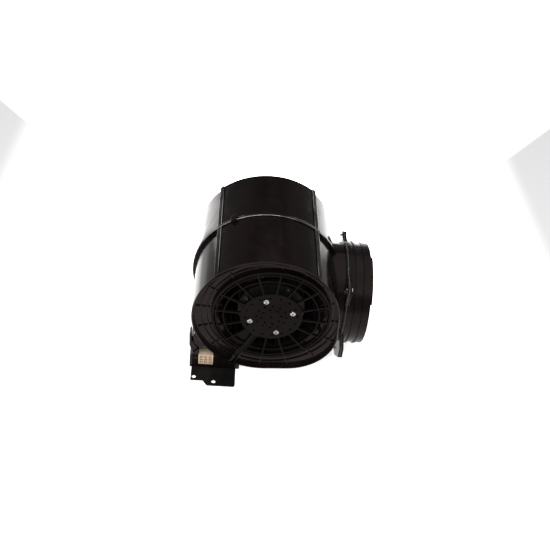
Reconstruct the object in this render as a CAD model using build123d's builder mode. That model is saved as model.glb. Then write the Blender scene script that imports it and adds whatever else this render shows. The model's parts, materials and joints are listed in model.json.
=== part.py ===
"""Double-inlet centrifugal blower for a cooker hood, with its motor, outlet collar and terminal box.

The fan axis lies along Y and the outlet looks along +X. Sizes are in millimetres.
Places across the fan are measured from the fan axis, and depths from the front rim.
The origin is on the resting plane, under the middle of the whole part.
"""

import os
from math import cos, radians, sin

from build123d import *

os.makedirs("parts", exist_ok=True)

# Scroll housing
SCROLL_R = 101.5
SCROLL_X = -7.0
SCROLL_Z = -6.6
BULGE_R = 69.5
BULGE_X = 27.0
BULGE_Z = -36.0
WIDTH = 194.0
SEAM = 99.0
WALL = 2.5
LIP = 4.9
LIP_HALF = 2.0
RECESS = 6.0
PLATE = 2.5

# Raised panel along the top of the drum, between two angles about the scroll centre
PANEL_START = 51.0
PANEL_END = 134.0
PANEL_RISE = 2.8
PANEL_RIDGE = 1.8
PANEL_RIDGE_SPAN = 3.2

# Ribs on the recessed side plates, the rings from the outside in
RIB_HEIGHT = 2.0
RIB_WIDTH = 1.6
RIB_RINGS = (96.0, 88.0)

# Catches along the seam, by their angles about the scroll centre
CLIP_ANGLES = (119, 205, 250, 300)
CLIP_LENGTH = 12.0
CLIP_WIDTH = 9.0
CLIP_RISE = 2.5

# Inlet grille and wire channel
SPOKES = 16
SPOKE_ANGLE = 18.0
CHANNEL_SPOKE = 10
HUB_R = 42.5
HUB_PLATE = 3.0
MOUTH_R = 82.0
THROAT_R = 73.0
MOUTH_DEPTH = 14.0
MOUTH_SEAT = 2.0
MOUTH_SEAT_WIDTH = 4.0
MOUTH_FLARE = 5.0
MOUTH_WALL = 1.8
MOUTH_RIM = 2.0
RING_GAP = 0.2
SPOKE_WIDTH = 2.2
SPOKE_DEPTH = 4.0
GRILLE_RINGS = (65.0, 75.5)
GRILLE_RING = 3.0
GRILLE_RIM = 3.5
GUARD_PLATE = 1.6
GUARD_PLATE_FRONT = 3.0
MOUNT_HOLE_R = 2.3
VENT_R = 1.6
VENT_CIRCLES = ((13.5, 8, 11.0), (20.5, 12, 0.0), (35.5, 16, 29.25))
REAR_CAP = 1.8
REAR_CAP_R = 9.0

CHANNEL_ANGLE = SPOKE_ANGLE + CHANNEL_SPOKE * 360 / SPOKES
CHANNEL_HALF = 3.3
CHANNEL_WALL = 1.2
CHANNEL_FLOOR = 5.8
CHANNEL_END = 95.0
COVER = 1.2
LEAD_R = 1.2
LEAD_DEPTH = 4.4
LEAD_BEND = 7.2
LEAD_TURN_R = 116.0

# Motor
MOTOR_SCREW_R = 30.0
MOTOR_R = 46.0
BUSH = 3.0
SHIELD_FRONT = 16.0
CORE_FRONT = 30.0
CORE_REAR = 60.0
SHIELD_REAR = 74.0
SHIELD_WALL = 2.0
LEAD_EXIT_R = 32.5
BOLT_R = 40.5
BOLT_ANGLE = SPOKE_ANGLE + 45
AIR_GAP = 0.5
ROTOR_R = 24.0
SHAFT_R = 4.0
BEARING_R = 11.0
BEARING_WIDTH = 7.0
BEARING_PLAY = 0.03
BEARING_SEAT = 2.5
BOLT_HOLE_R = 2.2
BOLT_SHANK_R = 2.0
END_RING = 2.8
END_RING_R = 14.0
COIL = 8.0
COIL_GAP = 2.4
COIL_BOLT_GAP = 3.5
COIL_ROUND = 2.0
CORE_SLOTS = 16
CORE_SLOT = 6.0
CORE_SLOT_WIDTH = 3.4
MOUNT_BORE_R = 2.1
MOUNT_BOSS_R = 5.0
MOUNT_HEAD = (4.0, 2.5, 4.4)
BUSH_R = 5.5
SHIELD_VENT_CIRCLE_R = 26.0
SHIELD_VENT_R = 3.0
BOLT_HEAD = (3.4, 2.6)

# Impeller
WHEEL_R = 80.0
BLADE_ROOT_R = 68.0
BLADES = 36
BLADE_THICKNESS = 1.2
BLADE_CURVE = 0.6
BLADE_LEAN = 6.0
WHEEL_FRONT = 17.0
DISC_FRONT = 106.0
DISC = 2.0
DISC_HOLE_R = 8.0
WHEEL_REAR = 177.0
BLADE_RING = 2.5
RIM_BAND = 5.0
HUB_BODY_R = 8.0
HUB_LENGTH = 14.0
HUB_FLANGE_R = 16.0
HUB_FLANGE = 3.0
RIVET_CIRCLE_R = 12.0
RIVET_R = 1.5
RIVET_HEAD = (2.6, 1.2)
RIVET_TAIL_R = 2.4
WASHER = 1.2
WASHER_R = 9.0
NUT = 6.0
NUT_R = 7.2

# Outlet
COLLAR_R = 75.0
COLLAR_WALL = 2.5
FLANGE_R = 77.0
FLANGE_CORNER = 68.0
FLANGE_HOLE_R = 84.5
FLANGE_HOLE = 2.0
FLANGE_SCREW_R = 1.8
FLANGE_HEAD = (3.6, 2.2, 4.0)
NECK_R = 74.0
NECK_STRAIGHT = 90.0
NECK_END = 105.6
NECK_FLANGE = 2.0
EAR_ROUND = 14.0
LUG = ((-93.2, -43.5), (-91.6, -27.0), (-60.0, -10.0), (-50.0, -60.0), (-62.0, -67.0), (-69.0, -65.6))
RIM_ROUND = 2.0
GASKET = 1.2
FLANGE = 3.0
COLLAR_BASE = 2.0
COLLAR_END = 140.0
COLLAR_BODY_R = 74.4
COLLAR_RIDGES = (117.0, 129.0)
RIDGE = 1.6
RIDGE_RISE = 1.8
COLLAR_TONGUE = 2.0
TONGUE_START = 94.0
TONGUE_END = 150.0
TONGUE_Z = -52.0
FLAP_X = 123.0
FLAP_R = 70.5
FLAP_THICKNESS = 1.6
PIN_R = 2.0
KNUCKLE_R = 4.0
KNUCKLE = 22.0
KNUCKLE_GAP = 0.4
FLAP_GAP = 0.5
FLAP_PLAY = 0.08
SEAT = 1.4

# Terminal box, at the lower left of the drum
BOX_LEFT = -108.4
BOX_RIGHT = -37.0
BOX_TOP = -72.0
BOX_PEAK = -96.0
BOX_SHOULDER = -87.0
BOX_DEPTH = 60.0
BOX_WALL = 2.0
BOX_RIBS = (-68.0, -60.0, -52.0, -44.0)
BOX_RIB_RISE = 0.8
BOX_RIB_WIDTH = 1.4
BOX_RIB_HEIGHT = 7.0
BOX_RIB_Z = 4.5
LATCH = (
    (-104.0, -84.0),
    (-109.5, -68.0),
    (-109.9, -44.7),
    (-108.8, -39.9),
    (-107.2, -41.0),
    (-106.9, -58.0),
    (-98.5, -72.5),
)
LATCH_WIDTH = 10.0
CATCH = (
    (-90.0, -38.0),
    (-100.5, -38.0),
    (-104.4, -51.0),
    (-103.0, -61.0),
    (-96.0, -71.0),
    (-80.0, -66.0),
)
FOOT = 2.0
FOOT_REACH = 32.5
FOOT_HOLE_R = 3.15
FOOT_HOLES = ((-101, -18.1), (-72.6, -25.6))
FOOT_SCREW_R = 1.5
FOOT_NOTCH = ((-88.0, -24.0), (-82.0, -FOOT_REACH))
FOOT_LEFT = -105.5
FOOT_RIGHT = -42.0
FOOT_SCREWS = ((-101, 18), (-58, 34))
FOOT_SCREW_HEAD_R = 2.8
FOOT_SCREW_HEAD = 1.8
FOOT_ROUND = 3.0
CONNECTOR_X = -85.6
CONNECTOR_Z = -94.2
CONNECTOR_W = 21.0
CONNECTOR_H = 18.6
CONNECTOR_D = 12.0
CONNECTOR_GAP = 9.0
CAVITY_W = 4.2
CAVITY_H = 3.8
CAVITY_GRID = [(6.4 * column, 5.4 * row) for row in (-1, 0, 1) for column in (-1, 0, 1)]
CONTACT_R = 1.1
CAPACITOR_X = -90.0
CAPACITOR_Z = -92.0
CAPACITOR_R = 13.0
CAPACITOR_FRONT = 26.0
CAPACITOR_LENGTH = 31.0
CAPACITOR_BAND = 1.2
CAPACITOR_ROUND = 1.2
TAB = 0.8
TAB_WIDTH = 4.8
TAB_LENGTH = 4.0
TAB_SPACING = 4.0

# Places that follow from the sizes above
FLOOR = SCROLL_Z - SCROLL_R - LIP
FAN_Z = -FLOOR
FAN_X = -(SCROLL_X - SCROLL_R - LIP + COLLAR_END + COLLAR_TONGUE) / 2
FRONT_Y = -(WIDTH + REAR_CAP - FOOT_REACH) / 2
COLLAR_Z = FLOOR + FLANGE_R
FLANGE_FRONT = NECK_END + GASKET
COLLAR_START = FLANGE_FRONT + FLANGE
SPIGOT_START = COLLAR_RIDGES[-1] + RIDGE
SHAFT_FRONT = SHIELD_FRONT + SHIELD_WALL - 0.5
SHAFT_END = DISC_FRONT + 18
NUT_FRONT = DISC_FRONT + DISC + 2
BOX_FLOOR = FLOOR + FOOT
LEAD_BACK = CONNECTOR_D + 8
CLEARANCE = 0.2


def across(depth):
    """The plane across the fan axis at a depth behind the front rim, seen from the front."""
    return Plane(origin=(FAN_X, FRONT_Y + depth, FAN_Z), x_dir=(1, 0, 0), z_dir=(0, -1, 0))


def outlet_section(x):
    """The plane across the outlet at a distance from the fan axis, centred on the collar."""
    return Plane(origin=(FAN_X + x, FRONT_Y + SEAM, FAN_Z + COLLAR_Z), x_dir=(0, 1, 0), z_dir=(1, 0, 0))


def level(z):
    """A horizontal plane at a height from the fan axis, with depth as its second direction."""
    return Plane(origin=(FAN_X, FRONT_Y, FAN_Z + z))


def polar(radius, angle):
    """The point at a radius and an angle in degrees."""
    return (radius * cos(radians(angle)), radius * sin(radians(angle)))


def finish(piece, name):
    """Name a finished piece and write it."""
    piece.part.label = name
    export_step(piece.part, f"parts/{name}.step")


def scroll_outline(growth):
    """The drum's outline: a large circle and the outlet bulge, joined by tangents."""
    with BuildSketch(Plane.XY, mode=Mode.PRIVATE) as outline:
        with Locations((SCROLL_X, SCROLL_Z)):
            Circle(SCROLL_R + growth)
        with Locations((BULGE_X, BULGE_Z)):
            Circle(BULGE_R + growth)
        make_hull()
    return outline.sketch


def ring_sector(inner, outer, start, end, centre=(0, 0)):
    """A sector of a ring between two angles, added to the sketch in hand."""
    with BuildLine(mode=Mode.PRIVATE) as sector:
        outer_arc = CenterArc(centre, outer, start, end - start)
        inner_arc = CenterArc(centre, inner, start, end - start)
        Line(outer_arc @ 0, inner_arc @ 0)
        Line(outer_arc @ 1, inner_arc @ 1)
    make_face(sector.edges())


def ring(plane, inner, outer, length, mode=Mode.ADD):
    """A plain ring standing on a plane, added to the part in hand."""
    with BuildSketch(plane) as profile:
        Circle(outer)
        if inner:
            Circle(inner, mode=Mode.SUBTRACT)
    extrude(profile.sketch, amount=length, mode=mode)


OUTER = scroll_outline(0)
INNER = scroll_outline(-WALL)
SEAM_LIP = scroll_outline(LIP)


# ---------------------------------------------------------------- scroll housing

def neck(growth, name):
    """The outlet neck, a cone out of the bulge that ends in a short cylinder."""
    with BuildPart() as piece:
        with BuildSketch(outlet_section(BULGE_X)):
            Circle(BULGE_R + growth)
        with BuildSketch(outlet_section(NECK_STRAIGHT)):
            Circle(NECK_R + growth)
        loft()
        with BuildSketch(outlet_section(NECK_STRAIGHT)):
            Circle(NECK_R + growth)
        extrude(amount=NECK_END - NECK_STRAIGHT)
    piece.part.label = name
    return piece.part


NECK_OUTER = neck(0, "neck")
NECK_BORE = neck(-WALL, "neck bore")

# The way out of the scroll, below the tongue
with BuildPart() as discharge:
    add(NECK_BORE)
    split(bisect_by=level(TONGUE_Z), keep=Keep.BOTTOM)

# What the neck leaves open. Above the tongue the drum's wall stays whole.
with BuildPart() as neck_cavity:
    add(NECK_BORE)
    with BuildSketch(across(0)):
        add(OUTER)
    extrude(amount=-WIDTH, mode=Mode.SUBTRACT)
    add(discharge.part)


def flange_outline():
    """A disc with four corner ears, and a lug at the lower front."""
    Circle(FLANGE_R)
    RectangleRounded(2 * FLANGE_CORNER, 2 * FLANGE_CORNER, EAR_ROUND)
    Polygon(*LUG, align=None)


def flange_holes(radius, mode=Mode.ADD):
    """The four screw places in the flange's ears."""
    with PolarLocations(FLANGE_HOLE_R, 4, 45):
        Circle(radius, mode=mode)


# Both halves in one, before they are parted at the seam
with BuildPart() as scroll_shell:
    with BuildSketch(across(0)):
        add(OUTER)
    extrude(amount=-WIDTH)
    rims = scroll_shell.faces().filter_by(Axis.Y).edges()
    fillet(rims, RIM_ROUND)
    with BuildSketch(across(SEAM - LIP_HALF)):
        add(SEAM_LIP)
    extrude(amount=-2 * LIP_HALF)
    with BuildSketch(across(RIM_ROUND)):
        ring_sector(SCROLL_R - 1, SCROLL_R + PANEL_RISE, PANEL_START, PANEL_END, (SCROLL_X, SCROLL_Z))
    extrude(amount=-(WIDTH - 2 * RIM_ROUND))
    with BuildSketch(across(RIM_ROUND)):
        for ridge_start in (PANEL_START, PANEL_END - PANEL_RIDGE_SPAN):
            ring_sector(
                SCROLL_R,
                SCROLL_R + PANEL_RISE + PANEL_RIDGE,
                ridge_start,
                ridge_start + PANEL_RIDGE_SPAN,
                (SCROLL_X, SCROLL_Z),
            )
    extrude(amount=-(WIDTH - 2 * RIM_ROUND))
    # Catch for the terminal box's latch
    with BuildSketch(across(1)):
        Polygon(*CATCH, align=None)
    extrude(amount=-LATCH_WIDTH)
    add(NECK_OUTER)
    with BuildSketch(outlet_section(NECK_END - NECK_FLANGE)):
        flange_outline()
    extrude(amount=NECK_FLANGE)
    with BuildSketch(across(0)):
        add(INNER)
    extrude(amount=-RECESS, mode=Mode.SUBTRACT)
    with BuildSketch(across(RECESS + PLATE)):
        add(INNER)
    extrude(amount=-(WIDTH - 2 * RECESS - 2 * PLATE), mode=Mode.SUBTRACT)
    with BuildSketch(across(WIDTH - RECESS)):
        add(INNER)
    extrude(amount=-RECESS, mode=Mode.SUBTRACT)
    add(neck_cavity.part, mode=Mode.SUBTRACT)
    with BuildSketch(outlet_section(NECK_END - NECK_FLANGE)) as screw_holes:
        flange_holes(FLANGE_SCREW_R)
    extrude(screw_holes.sketch, amount=NECK_FLANGE, mode=Mode.SUBTRACT)

# The inlet mouth, a stepped ring that ends in the throat, turned about the fan axis
with BuildPart() as mouth:
    with BuildSketch(Plane.XY):
        with BuildLine():
            Polyline(
                (MOUTH_R, RECESS),
                (MOUTH_R, RECESS + MOUTH_SEAT),
                (MOUTH_R - MOUTH_SEAT_WIDTH, RECESS + MOUTH_SEAT),
                (THROAT_R, RECESS + MOUTH_FLARE),
                (THROAT_R, MOUTH_DEPTH),
                (THROAT_R + MOUTH_WALL, MOUTH_DEPTH),
                (THROAT_R + MOUTH_WALL, RECESS + MOUTH_FLARE + 1.2),
                (MOUTH_R - MOUTH_SEAT_WIDTH + 1, RECESS + 2 * MOUTH_SEAT),
                (MOUTH_R + MOUTH_RIM, RECESS + 2 * MOUTH_SEAT),
                (MOUTH_R + MOUTH_RIM, RECESS),
                close=True,
            )
        make_face()
    revolve(axis=Axis.Y)

MOUTH_FRONT = Pos(FAN_X, FRONT_Y, FAN_Z) * mouth.part
MOUTH_BACK = Pos(FAN_X, FRONT_Y + WIDTH, FAN_Z) * mirror(mouth.part, about=Plane.XZ)


def side_ribs(depth):
    """Ring and radial ribs on a recessed side plate."""
    with BuildSketch(across(depth)) as radial:
        for spoke in range(SPOKES):
            if spoke != CHANNEL_SPOKE:
                with PolarLocations(MOUTH_R + MOUTH_RIM, 1, SPOKE_ANGLE + spoke * 360 / SPOKES):
                    Rectangle(SCROLL_R - MOUTH_R, RIB_WIDTH, align=(Align.MIN, Align.CENTER))
        add(INNER, mode=Mode.INTERSECT)
    extrude(radial.sketch, amount=-RIB_HEIGHT)
    with BuildSketch(across(depth)) as rings:
        for middle in RIB_RINGS:
            Circle(middle + RIB_WIDTH / 2)
            Circle(middle - RIB_WIDTH / 2, mode=Mode.SUBTRACT)
        add(INNER, mode=Mode.INTERSECT)
    extrude(rings.sketch, amount=-RIB_HEIGHT)


def side_hole(depth):
    """The hole in the side plate for the inlet mouth."""
    ring(across(depth), 0, MOUTH_R + MOUTH_RIM, -PLATE, Mode.SUBTRACT)


with BuildPart() as front_scroll_half:
    add(scroll_shell.part)
    split(bisect_by=across(SEAM), keep=Keep.TOP)
    side_ribs(RECESS - RIB_HEIGHT)
    side_hole(RECESS)
    add(MOUTH_FRONT)
    # The channel runs on over the side plate and out through the rim
    with BuildSketch(across(1)):
        with PolarLocations(MOUTH_R + 0.5, 1, CHANNEL_ANGLE):
            Rectangle(40, 2 * (CHANNEL_HALF + CHANNEL_WALL), align=(Align.MIN, Align.CENTER))
        add(INNER, mode=Mode.INTERSECT)
    extrude(amount=-(RECESS - 1))
    with BuildSketch(across(0)):
        with PolarLocations(MOUTH_R, 1, CHANNEL_ANGLE):
            Rectangle(32, 2 * CHANNEL_HALF, align=(Align.MIN, Align.CENTER))
    extrude(amount=-RECESS, mode=Mode.SUBTRACT)
finish(front_scroll_half, "front_scroll_half")

with BuildPart() as rear_scroll_half:
    add(scroll_shell.part)
    split(bisect_by=across(SEAM), keep=Keep.BOTTOM)
    side_ribs(WIDTH - RECESS)
    side_hole(WIDTH - RECESS - PLATE)
    add(MOUTH_BACK)
finish(rear_scroll_half, "rear_scroll_half")

with BuildPart() as seam_clips:
    with BuildSketch(across(SEAM - CLIP_LENGTH / 2)):
        with Locations((SCROLL_X, SCROLL_Z)):
            for angle in CLIP_ANGLES:
                with PolarLocations(SCROLL_R, 1, angle):
                    Rectangle(LIP + CLIP_RISE, CLIP_WIDTH, align=(Align.MIN, Align.CENTER))
    extrude(amount=-CLIP_LENGTH)
    add(scroll_shell.part, mode=Mode.SUBTRACT)
    # Nothing hangs below the lip, which the drum stands on
    with BuildSketch(level(FLOOR - 10)):
        Rectangle(4 * SCROLL_R, 4 * WIDTH)
    extrude(amount=10, mode=Mode.SUBTRACT)
finish(seam_clips, "seam_clips")


# ---------------------------------------------------------------- grilles and wire channel


def grille(front, inward, has_channel):
    """Hub plate, spokes and rings. inward is -1 for the front grille and 1 for the rear one."""
    ring(across(front), 0, HUB_R, inward * HUB_PLATE)
    with BuildSketch(across(front)) as radial:
        for spoke in range(SPOKES):
            if not (has_channel and spoke == CHANNEL_SPOKE):
                with PolarLocations(HUB_R - 0.5, 1, SPOKE_ANGLE + spoke * 360 / SPOKES):
                    Rectangle(MOUTH_R - HUB_R - 1, SPOKE_WIDTH, align=(Align.MIN, Align.CENTER))
    extrude(radial.sketch, amount=inward * SPOKE_DEPTH)
    for middle in GRILLE_RINGS:
        ring(across(front), middle - RIB_WIDTH / 2, middle + RIB_WIDTH / 2, inward * GRILLE_RING)
    ring(across(front), MOUTH_R - GRILLE_RIM, MOUTH_R - RING_GAP, inward * (RECESS + MOUTH_SEAT))
    with BuildSketch(across(front)) as vents:
        for radius, count, start in VENT_CIRCLES:
            with PolarLocations(radius, count, start):
                Circle(VENT_R)
        Circle(VENT_R)
    extrude(vents.sketch, amount=inward * HUB_PLATE, mode=Mode.SUBTRACT)


with BuildPart() as front_inlet_grille:
    grille(0, -1, True)
    # Channel for the motor lead in place of one spoke, and a plate beside it
    with BuildSketch(across(0)):
        with PolarLocations(HUB_R - 1, 1, CHANNEL_ANGLE):
            Rectangle(
                MOUTH_R - HUB_R - 0.5,
                2 * (CHANNEL_HALF + CHANNEL_WALL),
                align=(Align.MIN, Align.CENTER),
            )
    extrude(amount=-(CHANNEL_FLOOR + CHANNEL_WALL))
    with BuildSketch(across(GUARD_PLATE_FRONT)):
        ring_sector(HUB_R - 1, MOUTH_R - 1, CHANNEL_ANGLE - 360 / SPOKES, CHANNEL_ANGLE - 4)
    extrude(amount=-GUARD_PLATE)
    with BuildSketch(across(0)):
        with PolarLocations(0, 1, CHANNEL_ANGLE):
            Rectangle(CHANNEL_END, 2 * CHANNEL_HALF, align=(Align.MIN, Align.CENTER))
        Circle(HUB_R, mode=Mode.SUBTRACT)
    extrude(amount=-CHANNEL_FLOOR, mode=Mode.SUBTRACT)
    with BuildSketch(across(HUB_PLATE)):
        with PolarLocations(HUB_R - 3, 1, CHANNEL_ANGLE):
            Rectangle(4, 2 * CHANNEL_HALF, align=(Align.MIN, Align.CENTER))
    extrude(amount=-(CHANNEL_FLOOR - HUB_PLATE), mode=Mode.SUBTRACT)
    with BuildSketch(across(0)):
        with PolarLocations(MOTOR_SCREW_R, 4, SPOKE_ANGLE):
            Circle(MOUNT_HOLE_R)
    extrude(amount=-HUB_PLATE, mode=Mode.SUBTRACT)
finish(front_inlet_grille, "front_inlet_grille")

with BuildPart() as rear_inlet_grille:
    grille(WIDTH, 1, False)
finish(rear_inlet_grille, "rear_inlet_grille")

with BuildPart() as rear_hub_cap:
    ring(across(WIDTH), 0, REAR_CAP_R, -REAR_CAP)
    ring(across(WIDTH), 0, VENT_R, HUB_PLATE)
finish(rear_hub_cap, "rear_hub_cap")

with BuildPart() as wire_channel_cover:
    with BuildSketch(across(COVER)):
        with PolarLocations(0, 1, CHANNEL_ANGLE):
            Rectangle(CHANNEL_END, 2 * CHANNEL_HALF, align=(Align.MIN, Align.CENTER))
        Circle(HUB_R + CLEARANCE, mode=Mode.SUBTRACT)
    extrude(amount=-COVER)
finish(wire_channel_cover, "wire_channel_cover")


# ---------------------------------------------------------------- motor

with BuildPart() as motor_front_shield:
    ring(across(SHIELD_FRONT), SHAFT_R + 1, MOTOR_R, -SHIELD_WALL)
    ring(across(SHIELD_FRONT), MOTOR_R - SHIELD_WALL, MOTOR_R, -(CORE_FRONT - SHIELD_FRONT))
    ring(across(SHIELD_FRONT), BEARING_R, BEARING_R + BEARING_SEAT, -BEARING_WIDTH - SHIELD_WALL)
    with BuildSketch(across(HUB_PLATE + BUSH)):
        with PolarLocations(MOTOR_SCREW_R, 4, SPOKE_ANGLE):
            Circle(MOUNT_BOSS_R)
    extrude(amount=-(SHIELD_FRONT - HUB_PLATE - BUSH))
    with BuildSketch(across(HUB_PLATE + BUSH)):
        with PolarLocations(MOTOR_SCREW_R, 4, SPOKE_ANGLE):
            Circle(MOUNT_BORE_R)
        with PolarLocations(BOLT_R, 4, BOLT_ANGLE):
            Circle(BOLT_HOLE_R)
        with PolarLocations(LEAD_EXIT_R, 1, CHANNEL_ANGLE):
            Circle(2 * LEAD_R)
    extrude(amount=-(SHIELD_FRONT + SHIELD_WALL - HUB_PLATE - BUSH), mode=Mode.SUBTRACT)
finish(motor_front_shield, "motor_front_shield")

with BuildPart() as motor_rear_shield:
    ring(across(SHIELD_REAR), SHAFT_R + 1, MOTOR_R, SHIELD_WALL)
    ring(across(CORE_REAR), MOTOR_R - SHIELD_WALL, MOTOR_R, -(SHIELD_REAR - CORE_REAR))
    ring(across(SHIELD_REAR), BEARING_R, BEARING_R + BEARING_SEAT, BEARING_WIDTH + SHIELD_WALL)
    with BuildSketch(across(SHIELD_REAR)):
        with PolarLocations(BOLT_R, 4, BOLT_ANGLE):
            Circle(BOLT_HOLE_R)
        with PolarLocations(SHIELD_VENT_CIRCLE_R, 6):
            Circle(SHIELD_VENT_R)
    extrude(amount=SHIELD_WALL, mode=Mode.SUBTRACT)
finish(motor_rear_shield, "motor_rear_shield")

with BuildPart() as stator_core:
    ring(across(CORE_FRONT), ROTOR_R + AIR_GAP, MOTOR_R, -(CORE_REAR - CORE_FRONT))
    with BuildSketch(across(CORE_FRONT)):
        with PolarLocations(BOLT_R, 4, BOLT_ANGLE):
            Circle(BOLT_HOLE_R)
        with PolarLocations(ROTOR_R + CORE_SLOT, CORE_SLOTS, SPOKE_ANGLE):
            SlotCenterToCenter(CORE_SLOT, CORE_SLOT_WIDTH)
    extrude(amount=-(CORE_REAR - CORE_FRONT), mode=Mode.SUBTRACT)
finish(stator_core, "stator_core")

with BuildPart() as stator_windings:
    for coil_front in (CORE_FRONT - COIL, CORE_REAR):
        ring(across(coil_front), ROTOR_R + COIL_GAP, BOLT_R - COIL_BOLT_GAP, -COIL)
    edges_to_round = stator_windings.edges().filter_by(GeomType.CIRCLE)
    fillet(edges_to_round, COIL_ROUND)
finish(stator_windings, "stator_windings")


def fasteners(piece_plane, radius, start, shank_r, shank, head_r, head, cross=0):
    """Four screws on a circle, their heads in front of the plane and their shanks behind it."""
    with BuildSketch(piece_plane) as shanks:
        with PolarLocations(radius, 4, start):
            Circle(shank_r)
    extrude(shanks.sketch, amount=-shank)
    with BuildSketch(piece_plane) as heads:
        with PolarLocations(radius, 4, start):
            Circle(head_r)
    extrude(heads.sketch, amount=head)
    if cross:
        with BuildSketch(piece_plane.offset(head)) as recesses:
            with PolarLocations(radius, 4, start):
                Rectangle(cross, cross / 4)
                Rectangle(cross / 4, cross)
        extrude(recesses.sketch, amount=-head * 0.6, mode=Mode.SUBTRACT)


with BuildPart() as motor_mount_screws:
    fasteners(across(0), MOTOR_SCREW_R, SPOKE_ANGLE, BOLT_SHANK_R, SHIELD_FRONT - 1, *MOUNT_HEAD)
finish(motor_mount_screws, "motor_mount_screws")

with BuildPart() as rubber_bushes:
    with BuildSketch(across(HUB_PLATE)):
        with PolarLocations(MOTOR_SCREW_R, 4, SPOKE_ANGLE):
            Circle(BUSH_R)
        with PolarLocations(MOTOR_SCREW_R, 4, SPOKE_ANGLE):
            Circle(MOUNT_BORE_R, mode=Mode.SUBTRACT)
    extrude(amount=-BUSH)
finish(rubber_bushes, "rubber_bushes")

with BuildPart() as motor_through_bolts:
    fasteners(across(SHIELD_FRONT), BOLT_R, BOLT_ANGLE, 2, SHIELD_REAR - SHIELD_FRONT, *BOLT_HEAD)
finish(motor_through_bolts, "motor_through_bolts")

with BuildPart() as motor_bolt_nuts:
    with BuildSketch(across(SHIELD_REAR)):
        with PolarLocations(BOLT_R, 4, BOLT_ANGLE):
            RegularPolygon(BOLT_HEAD[0], 6)
    extrude(amount=-BOLT_HEAD[1])
finish(motor_bolt_nuts, "motor_bolt_nuts")


def bearing(front, name):
    """A ball bearing as one sealed ring."""
    with BuildPart() as piece:
        ring(across(front), SHAFT_R + BEARING_PLAY, BEARING_R, -BEARING_WIDTH)
    finish(piece, name)


bearing(SHIELD_FRONT + SHIELD_WALL, "front_bearing")
bearing(SHIELD_REAR - SHIELD_WALL - BEARING_WIDTH, "rear_bearing")

with BuildPart() as motor_shaft:
    ring(across(SHAFT_FRONT), 0, SHAFT_R, -(SHAFT_END - SHAFT_FRONT))
finish(motor_shaft, "motor_shaft")

with BuildPart() as rotor_core:
    ring(across(CORE_FRONT), SHAFT_R, ROTOR_R, -(CORE_REAR - CORE_FRONT))
finish(rotor_core, "rotor_core")

with BuildPart() as rotor_end_rings:
    ring(across(CORE_FRONT - END_RING), END_RING_R, ROTOR_R - 1.5, -END_RING)
    ring(across(CORE_REAR), END_RING_R, ROTOR_R - 1.5, -END_RING)
finish(rotor_end_rings, "rotor_end_rings")


# ---------------------------------------------------------------- impeller


def wheel(front, rear, disc_side):
    """One side of the impeller: forward-curved blades between an end ring and a disc ring."""
    with BuildLine(mode=Mode.PRIVATE) as blade_line:
        ThreePointArc(
            polar(BLADE_ROOT_R, 0),
            polar((BLADE_ROOT_R + WHEEL_R) / 2, BLADE_CURVE),
            polar(WHEEL_R - 0.8, BLADE_LEAN),
        )
    with BuildSketch(Plane.XY, mode=Mode.PRIVATE) as blade:
        trace(blade_line.line, line_width=BLADE_THICKNESS)
    with BuildSketch(across(front)) as blades:
        for turn in range(BLADES):
            add(blade.sketch, rotation=turn * 360 / BLADES)
    extrude(blades.sketch, amount=-(rear - front))
    ring(across(front), WHEEL_R - RIM_BAND, WHEEL_R, -BLADE_RING)
    ring(across(disc_side), BLADE_ROOT_R - 2, WHEEL_R, -BLADE_RING)


with BuildPart() as front_impeller_wheel:
    wheel(WHEEL_FRONT, DISC_FRONT, DISC_FRONT - BLADE_RING)
finish(front_impeller_wheel, "front_impeller_wheel")

with BuildPart() as rear_impeller_wheel:
    wheel(DISC_FRONT + DISC, WHEEL_REAR, DISC_FRONT + DISC)
    ring(across(WHEEL_REAR - BLADE_RING), WHEEL_R - RIM_BAND, WHEEL_R, -BLADE_RING)
finish(rear_impeller_wheel, "rear_impeller_wheel")

with BuildPart() as impeller_disc:
    ring(across(DISC_FRONT), HUB_BODY_R, WHEEL_R, -DISC)
    with BuildSketch(across(DISC_FRONT)):
        with PolarLocations(RIVET_CIRCLE_R, 4, 45):
            Circle(RIVET_R)
        with PolarLocations(WHEEL_R / 2, 6):
            Circle(DISC_HOLE_R)
    extrude(amount=-DISC, mode=Mode.SUBTRACT)
finish(impeller_disc, "impeller_disc")

with BuildPart() as impeller_hub:
    ring(across(DISC_FRONT - HUB_LENGTH), SHAFT_R, HUB_BODY_R, -(NUT_FRONT - DISC_FRONT + HUB_LENGTH))
    ring(across(DISC_FRONT - HUB_FLANGE), SHAFT_R, HUB_FLANGE_R, -HUB_FLANGE)
    with BuildSketch(across(DISC_FRONT - HUB_FLANGE)):
        with PolarLocations(RIVET_CIRCLE_R, 4, 45):
            Circle(RIVET_R)
    extrude(amount=-HUB_FLANGE, mode=Mode.SUBTRACT)
finish(impeller_hub, "impeller_hub")

with BuildPart() as hub_rivets:
    fasteners(across(DISC_FRONT - HUB_FLANGE), RIVET_CIRCLE_R, 45, RIVET_R, HUB_FLANGE + DISC, *RIVET_HEAD)
    with BuildSketch(across(DISC_FRONT + DISC)):
        with PolarLocations(RIVET_CIRCLE_R, 4, 45):
            Circle(RIVET_TAIL_R)
    extrude(amount=-1)
finish(hub_rivets, "hub_rivets")

with BuildPart() as shaft_washer:
    ring(across(NUT_FRONT), SHAFT_R, WASHER_R, -WASHER)
finish(shaft_washer, "shaft_washer")

with BuildPart() as shaft_nut:
    with BuildSketch(across(NUT_FRONT + WASHER)):
        RegularPolygon(NUT_R, 6)
        Circle(SHAFT_R, mode=Mode.SUBTRACT)
    extrude(amount=-NUT)
finish(shaft_nut, "shaft_nut")


# ---------------------------------------------------------------- outlet


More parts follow.
